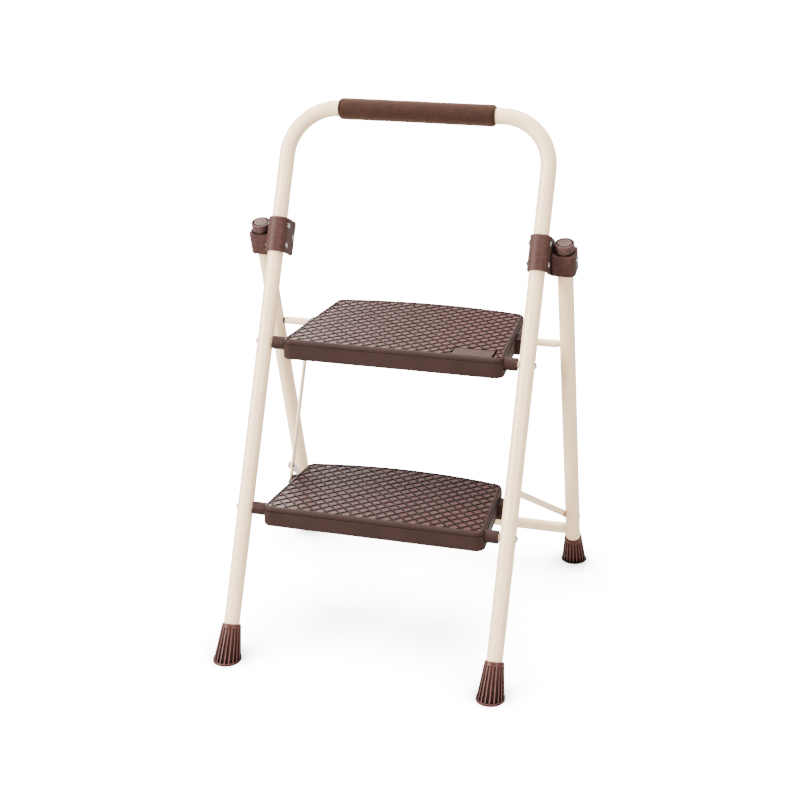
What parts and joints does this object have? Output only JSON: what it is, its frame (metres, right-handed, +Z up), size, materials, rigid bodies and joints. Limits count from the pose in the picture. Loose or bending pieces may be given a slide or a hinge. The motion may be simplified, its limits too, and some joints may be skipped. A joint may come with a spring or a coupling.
{
  "type": "folding step stool",
  "caption": "Folding step stool with a bent tube frame, foam-gripped handle, moulded treads that fold flat, riveted links and braces, and fluted rubber feet.",
  "frame": {"origin": "on the floor, in the middle of the area that the four feet cover", "axes": "+X to the right side as seen from the front, +Y towards the back, +Z up"},
  "size_m": [0.5404, 0.551, 0.8256],
  "materials": {
    "cream_enamel": "warm ivory powder coat, satin",
    "brown_plastic": "moulded dark brown plastic with a fine grain",
    "brown_foam": "closed-cell foam, dull",
    "brown_rubber": "moulded rubber, slightly glossy",
    "bright_steel": "zinc-plated steel, bright"
  },
  "bodies": {
    "front_frame": {"front_frame_tube": "cream_enamel", "handle_grip": "brown_foam", "front_foot_left": "brown_rubber", "front_foot_right": "brown_rubber", "front_clamp_left": "brown_plastic", "front_clamp_right": "brown_plastic", "clamp_rivets_left": "bright_steel", "clamp_rivets_right": "bright_steel", "pivot_rivet_left": "bright_steel", "pivot_rivet_right": "bright_steel", "upper_step_axle": "bright_steel", "lower_step_axle": "bright_steel", "upper_axle_sleeves": "cream_enamel", "lower_axle_sleeves": "cream_enamel"},
    "rear_frame": {"rear_leg_left": "cream_enamel", "rear_leg_right": "cream_enamel", "upper_crossbar": "cream_enamel", "lower_crossbar": "cream_enamel", "rear_cap_left": "brown_plastic", "rear_cap_right": "brown_plastic", "rear_clamp_left": "brown_plastic", "rear_clamp_right": "brown_plastic", "rear_foot_left": "brown_rubber", "rear_foot_right": "brown_rubber", "brace_leg_rivet_left": "bright_steel", "brace_leg_rivet_right": "bright_steel"},
    "upper_step_body": {"upper_step": "brown_plastic", "upper_ear_rivets": "bright_steel"},
    "lower_step_body": {"lower_step": "brown_plastic", "lower_ear_rivets": "bright_steel"},
    "link_right_body": {"step_link_right": "cream_enamel", "link_pin_right": "bright_steel"},
    "link_left_body": {"step_link_left": "cream_enamel", "link_pin_left": "bright_steel"},
    "brace_right_body": {"brace_right": "cream_enamel", "brace_pin_right": "bright_steel"},
    "brace_left_body": {"brace_left": "cream_enamel", "brace_pin_left": "bright_steel"}
  },
  "joints": [
    {"name": "fold", "type": "hinge", "parent": "front_frame", "child": "rear_frame", "pos_m": [0, 0.05328, 0.60715], "axis": [-1, 0, 0], "range_deg": [0, 33.25]},
    {"name": "upper_step_hinge", "type": "hinge", "parent": "front_frame", "child": "upper_step_body", "pos_m": [0, -0.04272, 0.46062], "axis": [1, 0, 0], "range_deg": [0, 63.3]},
    {"name": "lower_step_hinge", "type": "hinge", "parent": "front_frame", "child": "lower_step_body", "pos_m": [0, -0.15094, 0.21982], "axis": [1, 0, 0], "range_deg": [0, 63.3]},
    {"name": "link_right_hinge", "type": "hinge", "parent": "upper_step_body", "child": "link_right_body", "pos_m": [0, 0.08328, 0.44512], "axis": [-1, 0, 0], "range_deg": [0, 63.3]},
    {"name": "link_left_hinge", "type": "hinge", "parent": "upper_step_body", "child": "link_left_body", "pos_m": [0, 0.08328, 0.44512], "axis": [-1, 0, 0], "range_deg": [0, 63.3]},
    {"name": "brace_right_hinge", "type": "hinge", "parent": "rear_frame", "child": "brace_right_body", "pos_m": [0, 0.2186, 0.09983], "axis": [-1, 0, 0], "range_deg": [0, 30.27]},
    {"name": "brace_left_hinge", "type": "hinge", "parent": "rear_frame", "child": "brace_left_body", "pos_m": [0, 0.2186, 0.09983], "axis": [-1, 0, 0], "range_deg": [0, 30.27]}
  ],
  "couplings": [
    {"joint": "upper_step_hinge", "follows": "fold", "ratio": 1.9037},
    {"joint": "lower_step_hinge", "follows": "fold", "ratio": 1.9037},
    {"joint": "link_right_hinge", "follows": "fold", "ratio": 1.9037},
    {"joint": "link_left_hinge", "follows": "fold", "ratio": 1.9037},
    {"joint": "brace_right_hinge", "follows": "fold", "ratio": 0.91032},
    {"joint": "brace_left_hinge", "follows": "fold", "ratio": 0.91032}
  ]
}
